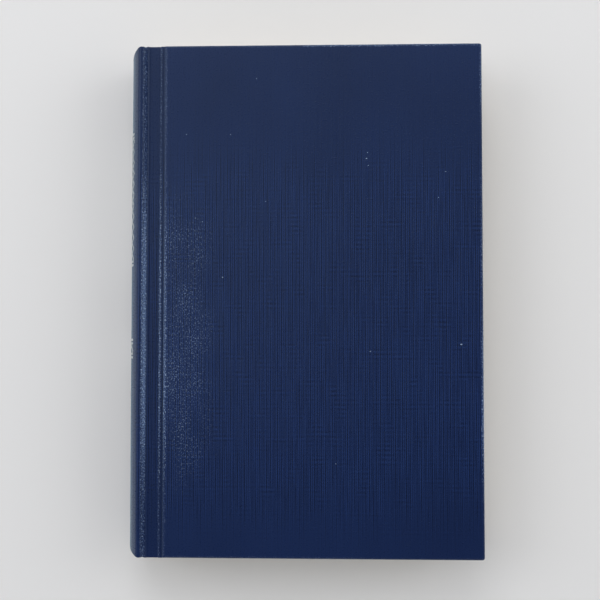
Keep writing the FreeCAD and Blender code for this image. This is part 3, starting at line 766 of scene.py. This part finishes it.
# %% Cloth of the two grooves
FLOOR_UP = 10.1
STEP_X, STEP_RISE = -54.45, 0.38    # the pressed line: from here to the board the groove lies higher
STEP_HALF, STEP_SOFT = 0.15, 0.64   # half of the step's width, and the radius of its upper edge
JOINT_HALF = 96.5      # the groove's cloth stands half a millimetre proud of the boards at head and tail
FLUSH_UP = 11.4        # from this height on it is as long as the cloth beside it
SEAM_X = -57.0         # where the two stretches of a groove meet
GROOVE_STEP = 0.14, 0.12         # mm between points across the two stretches
SLOPE_FOOT = 1.5       # radius at the foot of the ridge's slope
WALL_X, WALL_TOP = EDGE_X - 0.02, 11.6    # the cloth ends on the board's edge, just under its rounding
WALL_FOOT = 0.6        # radius where the floor turns up to the board
GROOVE_DEEP = 0.6      # cloth and its turn-in at head and tail

handover = ridge_line[0]
step_up = FLOOR_UP + STEP_RISE
slope_run = (handover[1] - FLOOR_UP) * math.tan(FOOT_TURN)
shoulder_line = rounded_line([(*handover, 0), (handover[0] + slope_run, FLOOR_UP, SLOPE_FOOT),
                              (SEAM_X, FLOOR_UP, 0)], GROOVE_STEP[0])[::-1]
board_line = rounded_line([(SEAM_X, FLOOR_UP, 0), (STEP_X - STEP_HALF, FLOOR_UP, STEP_HALF),
                           (STEP_X + STEP_HALF, step_up, STEP_SOFT), (WALL_X, step_up, WALL_FOOT),
                           (WALL_X, WALL_TOP, 0)], GROOVE_STEP[1])[::-1]
# Painted highlight on the upper part of the ridge's slope into the groove.
shoulder_painted_highlight = np.clip((shoulder_line[:, 1] - FLOOR_UP - 0.3) / 0.5, 0, 1) * 0.85
# Painted highlight along the pressed line.
step_painted_highlight = wear_and_highlight_band(board_line, (STEP_X + 0.2, step_up), 0.24, 0.6, 0.62)
shoulder_start = SPINE_THREADS - run_along(shoulder_line)[-1]
board_start = shoulder_start - run_along(board_line)[-1]


def groove_end(line):
    """Where the cloth ends along the book: proud on the floor, and flush from FLUSH_UP on."""
    share = np.clip((line[:, 1] - step_up) / (FLUSH_UP - step_up), 0, 1)
    return JOINT_HALF - (JOINT_HALF - CASE_HALF) * share


for place, side, seed in (("front", 1, 41), ("rear", -1, 53)):
    near_spine = turned_sheet(place + "_groove_cloth_at_spine", shoulder_line, side,
                              groove_end(shoulder_line), GROOVE_DEEP, CLOTH, FLAP_END, ROW_STEP, book_cloth,
                              seed, shoulder_start, shoulder_painted_highlight)
    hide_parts(place + "_joint_cloth")
    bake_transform(near_spine)
    near_board = turned_sheet(place + "_groove_cloth_at_board", board_line, side, groove_end(board_line),
                              GROOVE_DEEP, CLOTH, FLAP_END, ROW_STEP, book_cloth, seed + 5,
                              board_start, step_painted_highlight)
    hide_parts(place + "_joint_cloth")
    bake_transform(near_board)

# %% [markdown]
# ## Paper
# Leaves are bulky cream book paper, cut smooth after sewing; endpapers are a heavier, whiter wove sheet.
# Both are matt. Cut edges show the sheets as fine lines, so the block's sides are built from bundles of
# leaves that stand a few hundredths of a millimetre in or out, and a bump draws the single sheets between
# them.

# %% Book paper and endpaper
LEAF = 0.11            # mm, one leaf of bulky paper

book_paper, tree = new_material("book_paper_bulky_cut")
where = add(tree, "TexCoord").outputs["Object"]
sheet_map = add(tree, "Mapping", {}, {"Vector": where, "Scale": (60.0, 60.0, 1000 / (2 * LEAF))})
sheets = add(tree, "TexNoise", {}, {"Vector": sheet_map, "Scale": 1.0, "Detail": 2.0})
shade_map = add(tree, "Mapping", {}, {"Vector": where, "Scale": (18.0, 18.0, 1000 / 1.4)})
shades = add(tree, "TexNoise", {}, {"Vector": shade_map, "Scale": 1.0, "Detail": 3.0})
cream = add(tree, "Mix", RGBA, {0: shades, 6: linear("#d8cbb0"), 7: linear("#efe6d2")})
lines = add(tree, "Bump", {}, {"Strength": 0.6, "Distance": 0.00005, "Height": sheets})
surface = add(tree, "BsdfPrincipled", {}, {
    "Base Color": cream.outputs[2], "Roughness": 0.82, "IOR": 1.45, "Normal": lines})
add(tree, "OutputMaterial", {}, {"Surface": surface})

endpaper, tree = new_material("endpaper_wove")
where = add(tree, "TexCoord").outputs["Object"]
fibres = add(tree, "TexNoise", {}, {"Vector": where, "Scale": 900.0, "Detail": 4.0, "Roughness": 0.65})
wove = add(tree, "Mix", RGBA, {0: fibres, 6: linear("#e6dfcc"), 7: linear("#f3eee0")})
tooth = add(tree, "Bump", {}, {"Strength": 0.35, "Distance": 0.00003, "Height": fibres})
surface = add(tree, "BsdfPrincipled", {}, {
    "Base Color": wove.outputs[2], "Roughness": 0.88, "IOR": 1.45, "Normal": tooth})
add(tree, "OutputMaterial", {}, {"Surface": surface})
print("materials", book_paper.name, endpaper.name)

# %% [markdown]
# ## Block of leaves
# The leaves are sewn in sections, rounded with a hammer and fanned out over the shoulders, which also
# hollows the fore edge by the same arc. Single leaves would be far too many points, so the stack's wall
# steps in and out by bundles, with a thin nick between them, and the leaves rise towards the shoulders in
# the last few millimetres.

# %% Block of leaves
BUNDLE = 0.45          # mm, leaves that were cut as one
LEAF_HALF, LEAF_UP, LEAF_X = 93.0, 9.0, 63.7128
BACK_AXIS, BACK_R = -37.5, 27.3128
BACK_SPREAD = 1.18     # the back follows its arc this much further up than the leaves are thick
FAN_X, FAN_WIDE = -62.4, 3.2   # here the leaves have risen in full, and this far before it they begin to
FAN_RISE, FAN_POWER = 2.85, 2.2
NICK = 0.05            # depth of the nick between two bundles


def leaf_place(t, s, v, out):
    """A point of the stack: t is its leaf from -1 to 1, s its share of the way to the fore edge, v its
    place along from -1 to 1, out how far the edge stands out. Leaves lie at up = 9t and rise smoothly by
    2.85 |t|^2.2 towards the back; the back is the arc x = axis - sqrt(R^2 - (9 * 1.18 t)^2), the fore
    edge the arc of up = 9t."""
    back = BACK_AXIS - np.sqrt(BACK_R ** 2 - (LEAF_UP * t * BACK_SPREAD) ** 2)
    fore = LEAF_X + np.sqrt(BACK_R ** 2 - LEAF_UP ** 2) - np.sqrt(BACK_R ** 2 - (LEAF_UP * t) ** 2)
    x = back + s * (fore - back)
    rise = np.clip(1 - (x - FAN_X) / FAN_WIDE, 0, 1)
    rise = rise * rise * (3 - 2 * rise)
    up = LEAF_UP * t + FAN_RISE * np.abs(t) ** FAN_POWER * np.sign(t) * rise
    x = x + np.where(s >= 1, out, 0)
    y = v * LEAF_HALF + np.where(np.abs(v) >= 1, np.sign(v) * out, 0)
    return np.stack(np.broadcast_arrays(x, y, MIDDLE + up), axis=-1)


def leaf_block():
    """Closed stack: a wall of three rows of points for each bundle, standing in or out by a seeded random
    amount, and a grid over the lowest and the highest leaf, whose border is the wall's own first and last
    row."""
    bundles = round(2 * LEAF_UP / BUNDLE)
    levels = np.linspace(-1, 1, 3 * bundles + 1)
    count = np.arange(len(levels))
    random = np.random.default_rng(61)
    standing = random.uniform(-0.045, 0.03, bundles)[np.minimum(count // 3, bundles - 1)]
    standing = standing - np.where(count % 3 == 0, NICK, 0)
    across = np.concatenate([np.linspace(0, 0.05, 9)[:-1], np.linspace(0.05, 1, 22)])
    along = np.linspace(-1, 1, 21)
    n, m = len(across), len(along)
    corner_x = np.concatenate([across, np.ones(m - 2), across[::-1], np.zeros(m - 2)])
    corner_y = np.concatenate([-np.ones(n), along[1:-1], np.ones(n), along[-2:0:-1]])
    wall = leaf_place(levels[:, None], corner_x[None, :], corner_y[None, :], standing[:, None])
    rows, cols = wall.shape[:2]
    points, faces = [wall.reshape(-1, 3)], grid_faces(rows, cols, closed=True)
    made = rows * cols
    for row, t in ((0, -1.0), (rows - 1, 1.0)):
        inner = leaf_place(np.array(t), across[1:-1][:, None], along[1:-1][None, :], np.array(0.0))
        first = row * cols
        table = np.zeros((n, m), dtype=int)
        table[:, 0] = first + np.arange(n)
        table[-1, 1:-1] = first + n + np.arange(m - 2)
        table[::-1, -1] = first + n + m - 2 + np.arange(n)
        table[0, -2:0:-1] = first + 2 * n + m - 2 + np.arange(m - 2)
        table[1:-1, 1:-1] = made + np.arange((n - 2) * (m - 2)).reshape(n - 2, m - 2)
        made += (n - 2) * (m - 2)
        points.append(inner.reshape(-1, 3))
        faces += quads(table) if t < 0 else [face[::-1] for face in quads(table)]
    piece = closed_piece("leaves_sewn_and_cut", np.concatenate(points), faces, book_paper,
                         sharp=40.0)
    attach(piece, "book_block")
    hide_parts("text_block")


leaf_block()

# %% [markdown]
# ## Endpapers through the grooves
# Each endpaper is folded round the shoulder, from the flyleaf on the block to the pastedown under the
# board, and on the real book this strip is all that bends. A flat strip would tear open between its two
# bodies, so it has many fine rows and is divided at the same place as the cloth above it.

# %% Endpapers through the grooves
PAPER, PAPER_UP = 0.2, 9.5     # thickness, and height of the outer face across the groove
PAPER_STEP = 0.15

for place, side in (("front", 1), ("rear", -1)):
    gutter = np.array([(-60.45, 9.44), (-59.95, 9.44), (-59.6, 9.47), (-59.3, PAPER_UP),
                       (SEAM_X, PAPER_UP)])[::-1]
    gutter_paper = turned_sheet(place + "_gutter_paper", even(gutter, PAPER_STEP), side, LEAF_HALF, PAPER,
                                PAPER, FLAP_END, 12.0, endpaper)
    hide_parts(place + "_joint_endpaper")
    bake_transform(gutter_paper)
    hinge = np.array([(SEAM_X, PAPER_UP), (-51.9, PAPER_UP)])[::-1]
    hinge_paper = turned_sheet(place + "_hinge_paper", even(hinge, PAPER_STEP), side, LEAF_HALF, PAPER,
                               PAPER, FLAP_END, 12.0, endpaper)
    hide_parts(place + "_joint_endpaper")
    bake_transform(hinge_paper)

# %% [markdown]
# ## Headbands
# A strip of cotton with a bead of thread wound along its edge is glued to each end of the block. Its bead
# is a tube bent round the back's arc. Wound threads could be a bump alone, but the bead shows against the
# pale leaves, so they are small ridges of the mesh that run round it like a screw.

# %% Headband of wound cotton
headband, tree = new_material("headband_wound_cotton")
threads = add(tree, "Attribute", {"attribute_name": "threads"}).outputs["Vector"]
split = add(tree, "SeparateXYZ", {}, {0: threads})
turns = add(tree, "Math", {"operation": "MULTIPLY"}, {0: split.outputs["X"], 1: 1 / 1.6})
phase = add(tree, "Math", {"operation": "FRACT"}, {0: turns})
stripe = add(tree, "MapRange", SMOOTH, {"Value": phase, "From Min": 0.46, "From Max": 0.54})
colour = add(tree, "Mix", RGBA, {0: stripe, 6: linear("#e4dfd0"), 7: linear("#27406f")})
surface = add(tree, "BsdfPrincipled", {}, {
    "Base Color": colour.outputs[2], "Roughness": 0.6, "IOR": 1.46, "Sheen Weight": 0.25})
add(tree, "OutputMaterial", {}, {"Surface": surface})

BAND_R = 0.9           # the bead's axis lies this far from the leaves' ends and inside the gauze
WOUND = 0.4            # mm from one wound thread to the next
BEAD_END = 0.7         # mm over which the bead rounds off at a shoulder
GAUZE_R = BACK_R + 0.2
band_reach = math.asin(LEAF_UP / BACK_R)


def headband_bead(name, side):
    """Tube of radius r(s, a) = 0.82 + 0.07 |cos(pi (s / 0.4 + a / 2 pi))| along an arc of the back, s being
    the way along the arc and a the way round the tube; it shrinks to a small round end at both
    shoulders."""
    ring = np.linspace(0, 2 * math.pi, 21)[:-1]
    sweep = np.linspace(-band_reach, band_reach, 190)
    run = sweep * (GAUZE_R - BAND_R)
    end = np.clip((run.max() - np.abs(run)) / BEAD_END, 0, 1)
    swell = np.sqrt(1 - (1 - end) ** 2) * 0.97 + 0.03
    screw = run[:, None] + WOUND * ring[None, :] / (2 * math.pi)
    radius = (0.82 + 0.07 * np.abs(np.cos(math.pi * screw / WOUND))) * swell[:, None]
    out = GAUZE_R - BAND_R + radius * np.cos(ring)[None, :]
    along = side * (LEAF_HALF + BAND_R + radius * np.sin(ring)[None, :])
    points = on_arc(BACK_AXIS, out, sweep[:, None], along)
    threads = np.stack([screw, along, 0 * along], axis=-1)
    bead = closed_piece(name, points, tube_faces(*along.shape), headband, threads)
    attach(bead, "book_block")
    return bead


def headband_tape(name, side):
    """Thin strip on the leaves' back: arcs of two radii, 0.02 and 0.2 mm outside the back, joined round a
    loop."""
    sweep = np.linspace(-band_reach, band_reach, 40)
    loop = np.array([(0.02, -10.0), (0.02, BAND_R), (0.2, BAND_R), (0.2, -10.0)])
    out = BACK_R + loop[None, :, 0] + 0 * sweep[:, None]
    along = side * (LEAF_HALF + loop[None, :, 1]) + 0 * sweep[:, None]
    points = on_arc(BACK_AXIS, out, sweep[:, None], along)
    threads = np.stack([sweep[:, None] * out, along, 0 * along], axis=-1)
    tape = closed_piece(name, points, tube_faces(*along.shape), headband, threads)
    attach(tape, "book_block")


for node, side in (("head_band", 1), ("tail_band", -1)):
    bead = headband_bead(node + "_bead", side)
    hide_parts(node)
    headband_tape(node + "_tape", side)

# %% [markdown]
# ## Pieces that keep their CAD shape
# Boards, gauze, lining, flyleaves and pastedowns are flat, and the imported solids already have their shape,
# so each keeps its node and only gets the finish of its own stock.

# %% Finishes of the kept nodes
finishes["endpaper"] = endpaper
stock_of = {"board": "greyboard", "flyleaf": "endpaper", "pastedown": "endpaper", "mull": "mull",
            "mull_wing": "mull", "joint_mull": "mull", "spine_lining": "kraft", "spine_inlay": "inlay"}
for name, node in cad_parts.items():
    kind = name.replace("front_", "").replace("rear_", "")
    if kind in stock_of:
        node.data.materials.clear()
        node.data.materials.append(finishes[stock_of[kind]])
print("kept", sorted(n for n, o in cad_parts.items() if not o.hide_render))

# %% [markdown]
# ## Floor
# The book lies on a pale matt surface without an edge or a horizon. A plane would end somewhere, so the
# floor is a round dish, flat under the book and rising far outside the picture. Its colour makes the pale
# background.

# %% Floor
FLAT_TO, DISH_RISE = 1.4, 0.12    # metres: radius of the flat part, and how fast the dish rises beyond it

floor_finish, tree = new_material("floor_matt_paint")
surface = add(tree, "BsdfPrincipled", {}, {"Base Color": linear("#d7d6d6"), "Roughness": 0.9})
add(tree, "OutputMaterial", {}, {"Surface": surface})
radii = np.concatenate([[0.02], np.linspace(0.2, 3.0, 24)])
angles = np.linspace(0, 2 * math.pi, 73)[:-1]
rise = DISH_RISE * np.clip(radii - FLAT_TO, 0, None) ** 2
dish = np.stack([radii[:, None] * np.cos(angles), radii[:, None] * np.sin(angles),
                 rise[:, None] + 0 * angles], axis=-1).reshape(-1, 3)
floor_mesh = bpy.data.meshes.new("floor")
middle_face = list(range(len(angles)))[::-1]
floor_mesh.from_pydata(dish.tolist(), [], grid_faces(len(radii), len(angles), closed=True) + [middle_face])
floor_mesh.shade_smooth()
floor_mesh.materials.append(floor_finish)
floor = bpy.data.objects.new("floor", floor_mesh)
bpy.context.scene.collection.objects.link(floor)

# %% [markdown]
# ## Lights
# The photo has no hard shadow: one soft lamp stands beyond the head of the book, one to each side, and a
# faint one almost overhead shows the grain. The surround is bright in a ring near the horizon and towards
# the head, and dark above, so that the coating mirrors little there and the cloth keeps its depth. An even
# surround would be simpler, but it greys the cloth. The lamps stay at the level at which a colour renders
# as written.

# %% Surround
HORIZON, DARK, BRIGHT = 0.97, 0.1, 1.1
world = bpy.data.worlds.new("surround")
bpy.context.scene.world = world
world.use_nodes = True
sky = world.node_tree
facing = add(sky, "TexCoord").outputs["Generated"]
upwards = add(sky, "SeparateXYZ", {}, {0: facing})
ring = add(sky, "MapRange", SMOOTH, {
    "Value": upwards.outputs["Z"], "From Min": 0.35, "From Max": 0.9, "To Min": HORIZON, "To Max": DARK})
to_head = add(sky, "VectorMath", {"operation": "DOT_PRODUCT"}, {0: facing, 1: (-0.3, 0.95, 0.0)})
slope = add(sky, "MapRange", SMOOTH, {
    "Value": to_head.outputs["Value"], "From Min": -0.2, "From Max": 0.55, "To Min": DARK, "To Max": BRIGHT})
both = add(sky, "Math", {"operation": "MAXIMUM"}, {0: ring, 1: slope})
sky.nodes["Background"].inputs["Color"].default_value = (0.97, 0.985, 1.0, 1.0)
sky.links.new(both.outputs[0], sky.nodes["Background"].inputs["Strength"])
print("surround from", DARK, "to", BRIGHT)


# %% Lamps
def soft_light(name, at, width, power, colour):
    """A square lamp that faces the book: its place and width in metres, its power in watts."""
    lamp = bpy.data.lights.new(name, "AREA")
    lamp.shape = "SQUARE"
    lamp.size = width
    lamp.energy = power
    lamp.color = colour
    holder = bpy.data.objects.new(name, lamp)
    holder.location = at
    holder.rotation_mode = "QUATERNION"
    holder.rotation_quaternion = (-Vector(at)).to_track_quat("-Z", "Y")
    bpy.context.scene.collection.objects.link(holder)
    print(name, power, "W")


soft_light("soft_head_side", (-0.12, 0.75, 0.68), 0.6, 2.6, (1.0, 1.0, 1.0))
soft_light("soft_left", (-1.05, 0.25, 0.9), 0.8, 4.3, (0.98, 0.99, 1.0))
soft_light("soft_right", (1.05, 0.3, 0.75), 0.8, 4.1, (0.99, 0.995, 1.0))
soft_light("faint_overhead", (-0.24, 0.06, 1.15), 0.4, 0.4, (0.95, 0.98, 1.0))

# %% [markdown]
# ## View transform
# Standard shows colours as they are written.

# %% Finish
bpy.context.scene.view_settings.view_transform = "Standard"
